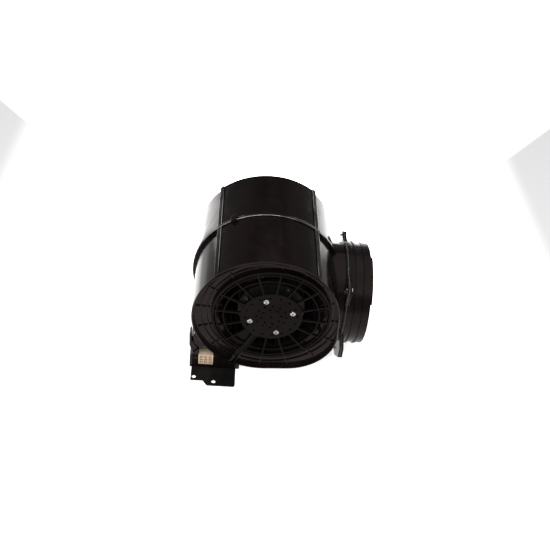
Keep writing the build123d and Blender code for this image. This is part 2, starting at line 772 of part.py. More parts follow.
def flange_layer(start, thickness, name):
    """One layer of the outlet flange."""
    with BuildPart() as piece:
        with BuildSketch(outlet_section(start)):
            flange_outline()
            Circle(COLLAR_R - COLLAR_WALL, mode=Mode.SUBTRACT)
            flange_holes(FLANGE_HOLE, Mode.SUBTRACT)
        extrude(amount=thickness)
    finish(piece, name)


flange_layer(NECK_END, GASKET, "outlet_gasket")
flange_layer(FLANGE_FRONT, FLANGE, "outlet_flange_plate")

with BuildPart() as outlet_flange_screws:
    fasteners(
        outlet_section(COLLAR_START),
        FLANGE_HOLE_R,
        45,
        FLANGE_SCREW_R,
        FLANGE + GASKET + NECK_FLANGE + 2,
        *FLANGE_HEAD,
    )
finish(outlet_flange_screws, "outlet_flange_screws")

with BuildPart() as outlet_collar:
    ring(outlet_section(COLLAR_START), COLLAR_R - COLLAR_WALL, COLLAR_BODY_R, COLLAR_END - COLLAR_START)
    ring(outlet_section(COLLAR_START), COLLAR_R - COLLAR_WALL, FLANGE_R, COLLAR_BASE)
    for ridge in COLLAR_RIDGES:
        ring(outlet_section(ridge), COLLAR_BODY_R - 1, COLLAR_BODY_R + RIDGE_RISE, RIDGE)
    # The spigot that the duct is pushed over
    ring(outlet_section(SPIGOT_START), COLLAR_R - COLLAR_WALL, COLLAR_R, COLLAR_END - SPIGOT_START)
    # Seat that the closed flaps rest near
    ring(outlet_section(FLAP_X - 3), FLAP_R - 3, COLLAR_BODY_R - 1, SEAT)
    # Raised tongue on the rim, on the front upper quarter
    with BuildSketch(outlet_section(COLLAR_END)):
        ring_sector(COLLAR_R - COLLAR_WALL, COLLAR_BODY_R, TONGUE_START, TONGUE_END)
    extrude(amount=COLLAR_TONGUE)
    # Bosses at the top and the bottom that hold the flap pin
    for boss_z in (COLLAR_Z - COLLAR_R + 1, COLLAR_Z + FLAP_R - 1):
        with BuildSketch(level(boss_z)):
            with Locations((FLAP_X, SEAM)):
                Circle(KNUCKLE_R)
        extrude(amount=COLLAR_R - FLAP_R)
    with BuildSketch(level(COLLAR_Z - COLLAR_R + 1)):
        with Locations((FLAP_X, SEAM)):
            Circle(PIN_R + 0.05)
    extrude(amount=2 * COLLAR_R - 2, mode=Mode.SUBTRACT)
finish(outlet_collar, "outlet_collar")

with BuildPart() as flap_pin:
    with BuildSketch(level(COLLAR_Z - COLLAR_R + 1)):
        with Locations((FLAP_X, SEAM)):
            Circle(PIN_R)
    extrude(amount=2 * COLLAR_R - 2)
finish(flap_pin, "flap_pin")


def flap(side, name):
    """Half a disc with two knuckles on the pin. side is -1 for the front flap and 1 for the rear."""
    knuckles = [COLLAR_Z + side * KNUCKLE * shift for shift in (-1.5, 0.5)]
    with BuildPart() as piece:
        with BuildSketch(outlet_section(FLAP_X - FLAP_THICKNESS / 2)):
            Circle(FLAP_R)
            Rectangle(2 * FLAP_GAP, 3 * FLAP_R, mode=Mode.SUBTRACT)
            with Locations((-side * FLAP_R, 0)):
                Rectangle(2 * FLAP_R, 3 * FLAP_R, mode=Mode.SUBTRACT)
        extrude(amount=FLAP_THICKNESS)
        # The leaf keeps clear of the other flap's knuckles, the pin and its ears
        with BuildSketch(level(COLLAR_Z - COLLAR_R)):
            with Locations((FLAP_X, SEAM)):
                Circle(KNUCKLE_R + FLAP_GAP)
        extrude(amount=2 * COLLAR_R, mode=Mode.SUBTRACT)
        for height in knuckles:
            with BuildSketch(level(height - KNUCKLE / 2 + KNUCKLE_GAP)):
                with Locations((FLAP_X, SEAM)):
                    Circle(KNUCKLE_R)
                with Locations((FLAP_X, SEAM + side * KNUCKLE_R)):
                    Rectangle(FLAP_THICKNESS, 3)
            extrude(amount=KNUCKLE - 2 * KNUCKLE_GAP)
        with BuildSketch(level(COLLAR_Z - COLLAR_R)):
            with Locations((FLAP_X, SEAM)):
                Circle(PIN_R + FLAP_PLAY)
        extrude(amount=2 * COLLAR_R, mode=Mode.SUBTRACT)
    finish(piece, name)


flap(-1, "flap_front")
flap(1, "flap_rear")


# ---------------------------------------------------------------- terminal box, foot and connector


def box_outline(inset):
    """The corner between the drum, its catch and the floor, drawn in by an inset."""
    drum = scroll_outline(CLEARANCE + inset)
    with BuildSketch(Plane.XY, mode=Mode.PRIVATE) as outline:
        with BuildLine():
            Polyline(
                (BOX_LEFT + inset, BOX_FLOOR + inset),
                (BOX_RIGHT - inset, BOX_FLOOR + inset),
                (BOX_RIGHT - inset, BOX_TOP - inset),
                (BOX_PEAK + inset, BOX_TOP - inset),
                (BOX_LEFT + inset, BOX_SHOULDER - inset),
                close=True,
            )
        make_face()
        add(drum, mode=Mode.SUBTRACT)
    return outline.sketch


BOX_OUTER = box_outline(0)
BOX_INNER = box_outline(BOX_WALL)


def connector_notch():
    """The place of the connector, open at its top."""
    with Locations((CONNECTOR_X, CONNECTOR_Z - CONNECTOR_H / 2 - CLEARANCE)):
        Rectangle(
            CONNECTOR_W + 2 * CLEARANCE,
            2 * CONNECTOR_H,
            align=(Align.CENTER, Align.MIN),
            mode=Mode.SUBTRACT,
        )


with BuildPart() as terminal_box:
    with BuildSketch(across(BOX_WALL)):
        add(BOX_OUTER)
    extrude(amount=-(BOX_DEPTH - BOX_WALL))
    with BuildSketch(across(BOX_WALL)):
        add(BOX_INNER)
    extrude(amount=-(BOX_DEPTH - 2 * BOX_WALL), mode=Mode.SUBTRACT)
    # Springy latch that reaches up past the drum's catch
    with BuildSketch(across(BOX_WALL)):
        Polygon(*LATCH, align=None)
        add(BOX_INNER, mode=Mode.SUBTRACT)
    extrude(amount=-LATCH_WIDTH)
    with BuildSketch(across(BOX_WALL)):
        with PolarLocations(104, 1, CHANNEL_ANGLE):
            Rectangle(14, 6, align=(Align.MIN, Align.CENTER))
    extrude(amount=-6, mode=Mode.SUBTRACT)
    with BuildSketch(level(BOX_FLOOR)):
        with Locations(*FOOT_SCREWS):
            Circle(FOOT_SCREW_R)
    extrude(amount=BOX_WALL, mode=Mode.SUBTRACT)
    # The roof is cut away above the connector
    with BuildSketch(across(BOX_WALL)):
        with Locations((CONNECTOR_X, CONNECTOR_Z)):
            Rectangle(CONNECTOR_W + 2 * CLEARANCE, 2 * CONNECTOR_H, align=(Align.CENTER, Align.MIN))
    extrude(amount=-(CONNECTOR_GAP - BOX_WALL), mode=Mode.SUBTRACT)
finish(terminal_box, "terminal_box")

with BuildPart() as terminal_box_cover:
    with BuildSketch(across(0)):
        add(BOX_OUTER)
        connector_notch()
    extrude(amount=-BOX_WALL)
    # Upright ribs on the face, right of the connector
    with BuildSketch(across(-BOX_RIB_RISE)):
        for rib_x in BOX_RIBS:
            with Locations((rib_x, BOX_FLOOR + BOX_RIB_Z)):
                Rectangle(BOX_RIB_WIDTH, BOX_RIB_HEIGHT)
    extrude(amount=-BOX_RIB_RISE)
finish(terminal_box_cover, "terminal_box_cover")

with BuildPart() as foot_plate:
    with BuildSketch(level(FLOOR)):
        with BuildLine():
            Polyline(
                (FOOT_LEFT, BOX_DEPTH - 6),
                (FOOT_LEFT, FOOT_NOTCH[0][1]),
                *FOOT_NOTCH,
                (FOOT_RIGHT, -FOOT_REACH),
                (FOOT_RIGHT, BOX_DEPTH - 6),
                close=True,
            )
        make_face()
        with Locations(*FOOT_HOLES):
            Circle(FOOT_HOLE_R, mode=Mode.SUBTRACT)
        with Locations(*FOOT_SCREWS):
            Circle(FOOT_SCREW_R, mode=Mode.SUBTRACT)
    extrude(amount=FOOT)
    upright_edges = foot_plate.edges().filter_by(Axis.Z).group_by(Axis.Y)[0]
    fillet(upright_edges, FOOT_ROUND)
finish(foot_plate, "foot_plate")

with BuildPart() as foot_screws:
    with BuildSketch(level(FLOOR + 0.5)):
        with Locations(*FOOT_SCREWS):
            Circle(FOOT_SCREW_R)
    extrude(amount=FOOT + BOX_WALL - 0.5)
    with BuildSketch(level(BOX_FLOOR + BOX_WALL)):
        with Locations(*FOOT_SCREWS):
            Circle(FOOT_SCREW_HEAD_R)
    extrude(amount=FOOT_SCREW_HEAD)
finish(foot_screws, "foot_screws")

with BuildPart() as connector_housing:
    with BuildSketch(across(-1)):
        with Locations((CONNECTOR_X, CONNECTOR_Z)):
            Rectangle(CONNECTOR_W, CONNECTOR_H)
    extrude(amount=-(CONNECTOR_D + 1))
    with BuildSketch(across(-1)):
        with Locations((CONNECTOR_X, CONNECTOR_Z)):
            with Locations(*CAVITY_GRID):
                Rectangle(CAVITY_W, CAVITY_H)
    extrude(amount=-CONNECTOR_D, mode=Mode.SUBTRACT)
finish(connector_housing, "connector_housing")

with BuildPart() as connector_contacts:
    with BuildSketch(across(2)):
        with Locations((CONNECTOR_X, CONNECTOR_Z)):
            with Locations(*CAVITY_GRID):
                Circle(CONTACT_R)
    extrude(amount=-(CONNECTOR_D - 3))
finish(connector_contacts, "connector_contacts")

with BuildPart() as capacitor:
    with BuildSketch(across(CAPACITOR_FRONT)):
        with Locations((CAPACITOR_X, CAPACITOR_Z)):
            Circle(CAPACITOR_R)
    extrude(amount=-CAPACITOR_LENGTH)
    fillet(capacitor.edges().filter_by(GeomType.CIRCLE), CAPACITOR_ROUND)
    with BuildSketch(across(CAPACITOR_FRONT)):
        with Locations((CAPACITOR_X - TAB_SPACING, CAPACITOR_Z), (CAPACITOR_X + TAB_SPACING, CAPACITOR_Z)):
            Rectangle(TAB, TAB_WIDTH)
    extrude(amount=TAB_LENGTH)
finish(capacitor, "capacitor")

with BuildPart() as capacitor_clip:
    with BuildSketch(across(CAPACITOR_FRONT + 16)):
        with Locations((CAPACITOR_X, CAPACITOR_Z)):
            Circle(CAPACITOR_R + CAPACITOR_BAND)
            Rectangle(12, 40, align=(Align.CENTER, Align.MAX))
            Circle(CAPACITOR_R, mode=Mode.SUBTRACT)
        with Locations((CAPACITOR_X, BOX_FLOOR + BOX_WALL)):
            Rectangle(30, 30, align=(Align.CENTER, Align.MAX), mode=Mode.SUBTRACT)
    extrude(amount=-8)
finish(capacitor_clip, "capacitor_clip")

# Motor lead: out of the motor, along the channel, round the rim and to the back of the connector
LEAD_START = polar(LEAD_EXIT_R, CHANNEL_ANGLE)
LEAD_TURN = polar(LEAD_TURN_R, CHANNEL_ANGLE)

with BuildPart() as motor_lead:
    with BuildLine(across(0)) as lead_path:
        FilletPolyline(
            (*LEAD_START, -(SHIELD_FRONT + SHIELD_WALL)),
            (*LEAD_START, -LEAD_DEPTH),
            (*LEAD_TURN, -LEAD_DEPTH),
            (CONNECTOR_X + 8, CONNECTOR_Z - 3, -LEAD_BACK),
            (CONNECTOR_X, CONNECTOR_Z, -LEAD_BACK),
            (CONNECTOR_X, CONNECTOR_Z, -CONNECTOR_D),
            radius=LEAD_BEND,
        )
    with BuildSketch(Plane(origin=lead_path.line @ 0, z_dir=lead_path.line % 0)):
        Circle(LEAD_R)
    sweep()
finish(motor_lead, "motor_lead")
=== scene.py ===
"""Looks of the double-inlet blower: materials, finer pieces, studio and camera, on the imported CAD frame."""

import json
import math
import random

import bmesh
import bpy
from mathutils import Matrix, Vector


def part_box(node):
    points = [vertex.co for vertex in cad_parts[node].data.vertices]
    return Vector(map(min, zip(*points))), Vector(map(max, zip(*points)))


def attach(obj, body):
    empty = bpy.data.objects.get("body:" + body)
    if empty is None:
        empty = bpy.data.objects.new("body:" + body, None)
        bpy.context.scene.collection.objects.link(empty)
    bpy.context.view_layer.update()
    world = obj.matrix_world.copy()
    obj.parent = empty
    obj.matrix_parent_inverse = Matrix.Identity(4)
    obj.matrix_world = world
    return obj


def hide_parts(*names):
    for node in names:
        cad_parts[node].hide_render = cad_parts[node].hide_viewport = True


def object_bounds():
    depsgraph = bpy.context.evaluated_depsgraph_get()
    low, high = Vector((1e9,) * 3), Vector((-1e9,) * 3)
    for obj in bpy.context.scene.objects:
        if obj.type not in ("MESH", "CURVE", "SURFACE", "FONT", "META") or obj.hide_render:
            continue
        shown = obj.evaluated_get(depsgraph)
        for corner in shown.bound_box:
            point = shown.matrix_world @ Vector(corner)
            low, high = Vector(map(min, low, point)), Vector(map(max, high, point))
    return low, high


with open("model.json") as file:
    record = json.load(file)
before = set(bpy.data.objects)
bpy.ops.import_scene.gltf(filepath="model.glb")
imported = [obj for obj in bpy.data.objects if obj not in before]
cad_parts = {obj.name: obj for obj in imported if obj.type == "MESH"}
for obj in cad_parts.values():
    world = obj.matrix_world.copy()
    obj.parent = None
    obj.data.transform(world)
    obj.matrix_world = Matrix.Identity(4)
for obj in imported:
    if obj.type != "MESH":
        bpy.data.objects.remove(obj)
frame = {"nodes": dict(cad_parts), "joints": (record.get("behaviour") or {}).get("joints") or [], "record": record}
cad_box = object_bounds()
random.seed(7)

MM = 0.001
joints = {joint["name"]: joint for joint in frame["joints"]}
slot_of = {part["node"]: part["material_slot"] for part in frame["record"]["subparts"]}

# The fan axis crosses the front rim's plane here
FAN = Vector(joints["rotor_spin"]["pos_m"])
FAN.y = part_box("front_scroll_half")[0].y


# ---------------------------------------------------------------- materials


class Surface:
    """A Principled material with short ways to add textures in object space."""

    def __init__(self, name, color, roughness, **sockets):
        self.material = bpy.data.materials.new(name)
        self.material.use_nodes = True
        self.nodes = self.material.node_tree.nodes
        self.links = self.material.node_tree.links
        self.shader = self.nodes["Principled BSDF"]
        self.place = self.nodes.new("ShaderNodeTexCoord").outputs["Object"]
        self.shader.inputs["Base Color"].default_value = (*color, 1)
        self.shader.inputs["Roughness"].default_value = roughness
        self.normal = None
        for socket, value in sockets.items():
            self.shader.inputs[socket.replace("_", " ")].default_value = value

    def put(self, value, socket):
        """Links an output to an input, or sets the input to a plain value."""
        if isinstance(value, bpy.types.NodeSocket):
            self.links.new(value, socket)
        else:
            socket.default_value = value

    def color(self, value):
        self.put(value, self.shader.inputs["Base Color"])

    def roughness(self, value):
        self.put(value, self.shader.inputs["Roughness"])

    def stretched(self, stretch):
        """Object coordinates scaled by a different amount each way."""
        mapping = self.nodes.new("ShaderNodeMapping")
        self.links.new(self.place, mapping.inputs["Vector"])
        mapping.inputs["Scale"].default_value = stretch
        return mapping.outputs["Vector"]

    def noise(self, scale, detail=2.0, stretch=(1, 1, 1), distortion=0.0):
        """Clouds from 0 to 1, drawn out along an axis whose stretch is under 1."""
        texture = self.nodes.new("ShaderNodeTexNoise")
        self.links.new(self.stretched(stretch), texture.inputs["Vector"])
        texture.inputs["Scale"].default_value = scale
        texture.inputs["Detail"].default_value = detail
        texture.inputs["Distortion"].default_value = distortion
        return texture.outputs["Fac"]

    def cells(self, scale):
        """The distance to the nearest of many scattered points."""
        texture = self.nodes.new("ShaderNodeTexVoronoi")
        self.links.new(self.place, texture.inputs["Vector"])
        texture.inputs["Scale"].default_value = scale
        return texture.outputs["Distance"]

    def waves(self, scale, direction, distortion=0.0):
        """Bands from 0 to 1 across an axis."""
        texture = self.nodes.new("ShaderNodeTexWave")
        self.links.new(self.place, texture.inputs["Vector"])
        texture.bands_direction = direction
        texture.inputs["Scale"].default_value = scale
        texture.inputs["Distortion"].default_value = distortion
        return texture.outputs["Fac"]

    def spread(self, value, low, high, to_low=0.0, to_high=1.0):
        """Maps the values from low to high onto another range, smoothly."""
        node = self.nodes.new("ShaderNodeMapRange")
        node.interpolation_type = "SMOOTHSTEP"
        self.put(value, node.inputs["Value"])
        limits = {"From Min": low, "From Max": high, "To Min": to_low, "To Max": to_high}
        for socket, number in limits.items():
            node.inputs[socket].default_value = number
        return node.outputs["Result"]

    def sum(self, first, second, operation="ADD"):
        """The sum of two values, or the result of another operation on them."""
        node = self.nodes.new("ShaderNodeMath")
        node.operation = operation
        self.put(first, node.inputs[0])
        self.put(second, node.inputs[1])
        return node.outputs[0]

    def times(self, first, second):
        return self.sum(first, second, "MULTIPLY")

    def blend(self, factor, first, second):
        """A colour between two, each an (r, g, b) or an output."""
        node = self.nodes.new("ShaderNodeMix")
        node.data_type = "RGBA"
        self.put(factor, node.inputs["Factor"])
        colors = [s for s in node.inputs if s.type == "RGBA"]
        self.put(first if isinstance(first, bpy.types.NodeSocket) else (*first, 1), colors[0])
        self.put(second if isinstance(second, bpy.types.NodeSocket) else (*second, 1), colors[1])
        return [s for s in node.outputs if s.type == "RGBA"][0]

    def soft_edges(self, radius):
        """Rounds the look of sharp edges by a radius in metres."""
        node = self.nodes.new("ShaderNodeBevel")
        node.samples = 4
        node.inputs["Radius"].default_value = radius
        self.normal = node.outputs["Normal"]

    def bump(self, height, depth):
        """Adds a relief of a depth in metres."""
        node = self.nodes.new("ShaderNodeBump")
        node.inputs["Strength"].default_value = 1.0
        node.inputs["Distance"].default_value = depth
        self.links.new(height, node.inputs["Height"])
        if self.normal is not None:
            self.links.new(self.normal, node.inputs["Normal"])
        self.normal = node.outputs["Normal"]

    def done(self):
        if self.normal is not None:
            self.links.new(self.normal, self.shader.inputs["Normal"])
        return self.material


WARM_GLOSS = (1.0, 0.8, 0.74, 1.0)
WHITE_GLOSS = (1.0, 1.0, 1.0, 1.0)
DUST = (0.25, 0.24, 0.22)
SHEET_GAP = (0.05, 0.05, 0.05)
RUST = (0.16, 0.07, 0.03)
COPPER = (0.5, 0.19, 0.07)
COPPER_DARK = (0.22, 0.07, 0.02)
COPPER_LIGHT = (0.62, 0.27, 0.1)
YELLOWED = (0.93, 0.86, 0.68)
BLOOM = 2.2


def moulded(name, dark, light, gloss, grain, level=0.3, edge=0.0005, tint=WARM_GLOSS):
    """Moulded plastic: a faint flow, fine grain, handling smears, hair scratches and dust."""
    look = Surface(name, dark, gloss, Specular_IOR_Level=level, Specular_Tint=tint)
    look.soft_edges(edge)
    flow = look.noise(scale=22, detail=3, stretch=(1, 0.35, 1), distortion=0.6)
    smear = look.noise(scale=34, detail=4, stretch=(1, 1, 0.5), distortion=1.2)
    fine = look.noise(scale=2400, detail=2)
    scratch = look.noise(scale=160, detail=2, stretch=(1, 0.04, 1))
    speck = look.spread(look.cells(scale=620), low=0.05, high=0.09, to_low=1.0, to_high=0.0)
    patch = look.spread(look.noise(scale=45, detail=2), low=0.5, high=0.7)
    dusty = look.times(speck, patch)
    color = look.blend(look.spread(flow, low=0.35, high=0.65), dark, light)
    look.color(look.blend(look.times(dusty, 0.35), color, DUST))
    worn = look.spread(smear, low=0.4, high=0.75, to_low=gloss * 0.8, to_high=gloss * 1.7)
    scratched = look.spread(scratch, low=0.66, high=0.72, to_low=0.0, to_high=0.12)
    look.roughness(look.sum(look.sum(worn, scratched), look.times(dusty, 0.3)))
    look.bump(flow, depth=0.0006)
    look.bump(fine, depth=grain)
    return look.done()


def metal(name, color, roughness, stretch, edge=0.0003, stain=0.7):
    """Bare or plated metal: fine lines, cloudy tarnish and small pits."""
    look = Surface(name, color, roughness, Metallic=1.0)
    look.soft_edges(edge)
    cloud = look.noise(scale=60, detail=4)
    lines = look.noise(scale=900, detail=3, stretch=stretch)
    pits = look.cells(scale=900)
    dull = tuple(stain * channel for channel in color)
    look.color(look.blend(look.spread(cloud, low=0.4, high=0.7), color, dull))
    tarnished = look.spread(cloud, low=0.35, high=0.7, to_low=roughness, to_high=roughness * 1.6)
    lined = look.spread(lines, low=0.3, high=0.7, to_low=0, to_high=0.08)
    look.roughness(look.sum(tarnished, lined))
    look.bump(lines, depth=0.00004)
    look.bump(look.spread(pits, low=0.0, high=0.12), depth=0.00003)
    return look.done()


def laminations(name, color):
    """Stacked steel sheets: dark gaps between the sheets along the fan axis, with a little rust."""
    look = Surface(name, color, 0.42, Metallic=1.0)
    sheets = look.waves(scale=320, direction="Y", distortion=0.2)
    rust = look.spread(look.noise(scale=90, detail=4), low=0.58, high=0.72)
    steel = look.blend(look.spread(sheets, low=0.1, high=0.4), SHEET_GAP, color)
    look.color(look.blend(rust, steel, RUST))
    look.roughness(look.spread(rust, low=0.0, high=1.0, to_low=0.4, to_high=0.8))
    look.bump(sheets, depth=0.00015)
    return look.done()


def windings(name):
    """Enamelled copper wire, laid in turns and varnished."""
    look = Surface(name, COPPER, 0.28, Metallic=0.85, Coat_Weight=0.5, Coat_Roughness=0.12)
    turns = look.noise(scale=420, detail=1, stretch=(1, 0.2, 1), distortion=2.0)
    look.color(look.blend(look.spread(turns, low=0.3, high=0.7), COPPER_DARK, COPPER_LIGHT))
    look.bump(turns, depth=0.0004)
    return look.done()


def rubber(name, color, grain):
    """Matt rubber or foam: open grain with paler bloom."""
    look = Surface(name, color, 0.82, Specular_IOR_Level=0.35)
    pores = look.cells(scale=1500)
    bloom = look.spread(look.noise(scale=120, detail=4), low=0.45, high=0.75)
    pale = tuple(channel * BLOOM for channel in color)
    look.color(look.blend(bloom, color, pale))
    look.roughness(look.spread(bloom, low=0, high=1, to_low=0.72, to_high=0.92))
    look.bump(pores, depth=grain)
    return look.done()


def nylon(name, color):
    """Natural nylon: slightly see-through, a little yellowed and uneven."""
    look = Surface(
        name, color, 0.36, Subsurface_Weight=0.15, Subsurface_Scale=0.002, Specular_IOR_Level=0.45
    )
    look.soft_edges(0.0003)
    age = look.noise(scale=130, detail=3)
    yellow = tuple(channel * share for channel, share in zip(color, YELLOWED))
    look.color(look.blend(look.spread(age, low=0.35, high=0.7), color, yellow))
    uneven = look.noise(scale=300, detail=2)
    look.roughness(look.spread(uneven, low=0.3, high=0.7, to_low=0.3, to_high=0.46))
    look.bump(look.noise(scale=1800, detail=2), depth=0.00003)
    return look.done()


BLACK = (0.0038, 0.0026, 0.0024)
BLACK_WARM = (0.0066, 0.0044, 0.004)
GRILLE_DARK = (0.0024, 0.0017, 0.0016)
GRILLE_LIGHT = (0.0048, 0.0033, 0.003)
COLLAR_DARK = (0.0035, 0.003, 0.0028)
COLLAR_LIGHT = (0.0065, 0.0055, 0.005)
FOOT_DARK = (0.006, 0.0055, 0.0055)
FOOT_LIGHT = (0.011, 0.0095, 0.009)
WHEEL_DARK = (0.007, 0.006, 0.0057)
WHEEL_LIGHT = (0.012, 0.0095, 0.009)
FLAP_DARK = (0.02, 0.02, 0.021)
FLAP_LIGHT = (0.03, 0.03, 0.031)
IVORY = (0.56, 0.44, 0.34)
CAPACITOR_WHITE = (0.84, 0.84, 0.81)
TIN = (0.72, 0.66, 0.48)
ZINC = (0.42, 0.42, 0.43)
PAINTED_STEEL = (0.035, 0.033, 0.032)
STEEL = (0.62, 0.62, 0.63)
SHEET_STEEL = (0.36, 0.35, 0.34)
ALLOY = (0.7, 0.7, 0.71)
# Painted highlight: the pale greys of the thin lines along the seam lip, the panel ridges and the clip edges,
# standing in for glints on those edges
PAINTED_HIGHLIGHT_DIM = (0.05, 0.05, 0.05)
PAINTED_HIGHLIGHT_BRIGHT = (0.6, 0.6, 0.6)
BUSH_BLACK = (0.02, 0.02, 0.02)
FOAM_GREY = (0.045, 0.045, 0.047)
SLEEVE_GREY = (0.03, 0.03, 0.032)

materials = {
    "housing_plastic": moulded(
        "housing_plastic", BLACK, BLACK_WARM, gloss=0.13, grain=0.000012, level=0.12, edge=0.0008
    ),
    "grille_plastic": moulded(
        "grille_plastic", GRILLE_DARK, GRILLE_LIGHT, gloss=0.24, grain=0.000016, level=0.035
    ),
    "collar_plastic": moulded(
        "collar_plastic", COLLAR_DARK, COLLAR_LIGHT, gloss=0.26, grain=0.00002, level=0.1
    ),
    "foot_plastic": moulded(
        "foot_plastic", FOOT_DARK, FOOT_LIGHT, gloss=0.34, grain=0.00003, level=0.08
    ),
    "impeller_plastic": moulded(
        "impeller_plastic", WHEEL_DARK, WHEEL_LIGHT, gloss=0.4, grain=0.00003, level=0.15
    ),
    "flap_plastic": moulded(
        "flap_plastic", FLAP_DARK, FLAP_LIGHT, gloss=0.45, grain=0.00004, level=0.4
    ),
    "connector_ivory": nylon("connector_ivory", IVORY),
    "contact_tin": metal("contact_tin", TIN, 0.25, stretch=(1, 0.1, 1), edge=0.0001),
    "screw_zinc": metal("screw_zinc", ZINC, 0.2, stretch=(1, 1, 1), edge=0.0002, stain=0.4),
    "motor_shield": metal("motor_shield", PAINTED_STEEL, 0.5, stretch=(1, 0.2, 1)),
    "lamination_steel": laminations("lamination_steel", SHEET_STEEL),
    "rotor_cast": metal("rotor_cast", STEEL, 0.5, stretch=(1, 1, 1)),
    "copper_wire": windings("copper_wire"),
    "bearing_steel": metal("bearing_steel", STEEL, 0.18, stretch=(1, 30, 1)),
    "hub_alloy": metal("hub_alloy", ALLOY, 0.3, stretch=(1, 20, 1)),
    "bush_rubber": rubber("bush_rubber", BUSH_BLACK, grain=0.00005),
    "gasket_foam": rubber("gasket_foam", FOAM_GREY, grain=0.0004),
    "lead_sleeve": rubber("lead_sleeve", SLEEVE_GREY, grain=0.00005),
    "capacitor_case": nylon("capacitor_case", CAPACITOR_WHITE),
}

for node, piece in frame["nodes"].items():
    for holder in piece.material_slots:
        holder.material = materials[slot_of[node]]


# A painted highlight: pale grey line colour, shown on the beads and on the snap clips' bevelled edges
PAINTED_HIGHLIGHT_LOOK = moulded(
    "painted_highlight_line", PAINTED_HIGHLIGHT_DIM, PAINTED_HIGHLIGHT_BRIGHT, gloss=0.12, grain=0.00001, level=0.6, edge=0.0001, tint=WHITE_GLOSS
)


# ---------------------------------------------------------------- finer pieces

SAME_POINT = 1e-6
SAME_RING_POINT = 1e-7
SHARP = math.radians(40)
NEAR = 0.1 * MM

# A cross head, in shares of its radius or of its height
DOME_STEPS = 8
DOME_RADIUS = 0.97
DOME_FOOT = 0.35
DOME_RISE = 0.65
RIM_HEIGHT = 0.2
RIM_FOOT = 0.98
CROSS_LENGTH = 1.15
CROSS_WIDTH = 0.36
CROSS_MIDDLE = 0.65
CROSS_TAPER = 0.5

# A thread, in shares of the shank's radius
THREAD_PITCH = 0.45
THREAD_START = 0.8
THREAD_ROOT = 0.82
THREAD_TIP = 0.5
SCREW_TURNS = (0.2, 1.3)

# The connector. Shifts along its width or height are shares of its size
SHELL_ROUND = 0.35 * MM
CAVITY_WIDTH = 4.3 * MM
CAVITY_HEIGHT = 3.9 * MM
CAVITY_AHEAD = 1.6 * MM
CAVITY_ROUND = 0.5 * MM
GROOVE_WIDTH = 0.9 * MM
GROOVE_DEPTH = 1.6 * MM
GROOVE_SHIFTS = (-0.32, -0.11, 0.11, 0.32)
EAR_SIZE = (2.0 * MM, 7.0 * MM, 4.2 * MM)
EAR_ROUND = 0.6 * MM
EAR_OUT = 0.1 * MM
EAR_AHEAD = 1.5 * MM
EAR_UP = 0.3
KEY_SIZE = (1.0 * MM, 8.0 * MM, 1.2 * MM)
KEY_ROUND = 0.2 * MM
KEY_AHEAD = 1.0 * MM
KEY_SHIFTS = (-0.25, 0.25)

# Radius and height of a rolled socket's outline, in millimetres
SOCKET_OUTLINE = ((0.62, 0.0), (0.62, -8.4), (1.05, -8.4), (1.05, -0.5), (0.85, 0.0), (0.62, 0.0))

FLAT = math.radians(2)
BEVELLED = math.radians(50)
GASKET_ROUND = 0.3 * MM
CLIP_EDGE = 0.45 * MM

# The beads, thin lines of painted highlight: the lip's depth behind the front rim, and the least distances from
# the fan axis
BEAD = 0.35 * MM
LIP_FRONT = 97 * MM
NECK_START = 70 * MM
RIDGE_LENGTH = 40 * MM
RIDGE_HEIGHT = 30 * MM

# A bush: shares of its length and of its outer radius
BUSH_BORE = 2.1 * MM
BUSH_OUTLINE = (
    (0.0, 0.86), (0.1, 1.0), (0.3, 1.0), (0.42, 0.86),
    (0.58, 0.86), (0.7, 1.0), (0.9, 1.0), (1.0, 0.86),
)

SLEEVE_VOXEL = 0.5 * MM
CREASE_SIZE = 6 * MM
CREASE_DEPTH = 0.35 * MM


def mesh_from(build):
    """A mesh made by a function that fills a bmesh."""
    work = bmesh.new()
    build(work)
    bmesh.ops.recalc_face_normals(work, faces=work.faces)
    mesh = bpy.data.meshes.new("piece")
    work.to_mesh(mesh)
    work.free()
    return mesh


def piece_from(mesh, name, slot, body="housing"):
    """An object that shows a mesh in a slot's finish and rides on a body."""
    mesh.materials.clear()
    mesh.materials.append(materials[slot])
    piece = bpy.data.objects.new(name, mesh)
    bpy.context.scene.collection.objects.link(piece)
    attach(piece, body)
    return piece


def baked(mesh, name, *modifiers):
    """The mesh after modifiers, each given as a type and its settings."""
    holder = bpy.data.objects.new(name, mesh)
    bpy.context.scene.collection.objects.link(holder)
    for kind, settings in modifiers:
        modifier = holder.modifiers.new(kind.lower(), kind)
        for key, value in settings.items():
            setattr(modifier, key, value)
    view = bpy.context.evaluated_depsgraph_get()
    result = bpy.data.meshes.new_from_object(holder.evaluated_get(view))
    bpy.data.objects.remove(holder)
    return result


def cut(mesh, build, rounding=0.0):
    """The mesh less a shape made by a function that fills a bmesh, its edges rounded first."""
    cutter = bpy.data.objects.new("cutter", mesh_from(build))
    bpy.context.scene.collection.objects.link(cutter)
    if rounding:
        cutter.modifiers.new("round", "BEVEL").width = rounding
    settings = {"operation": "DIFFERENCE", "object": cutter, "solver": "EXACT"}
    result = baked(mesh, "cut", ("BOOLEAN", settings))
    bpy.data.objects.remove(cutter)
    return result


def shade_by_angle(mesh, degrees=35):
    """Smooth shading, with sharp edges where faces meet at more than an angle."""
    mesh.shade_smooth()
    mesh.set_sharp_from_angle(angle=math.radians(degrees))


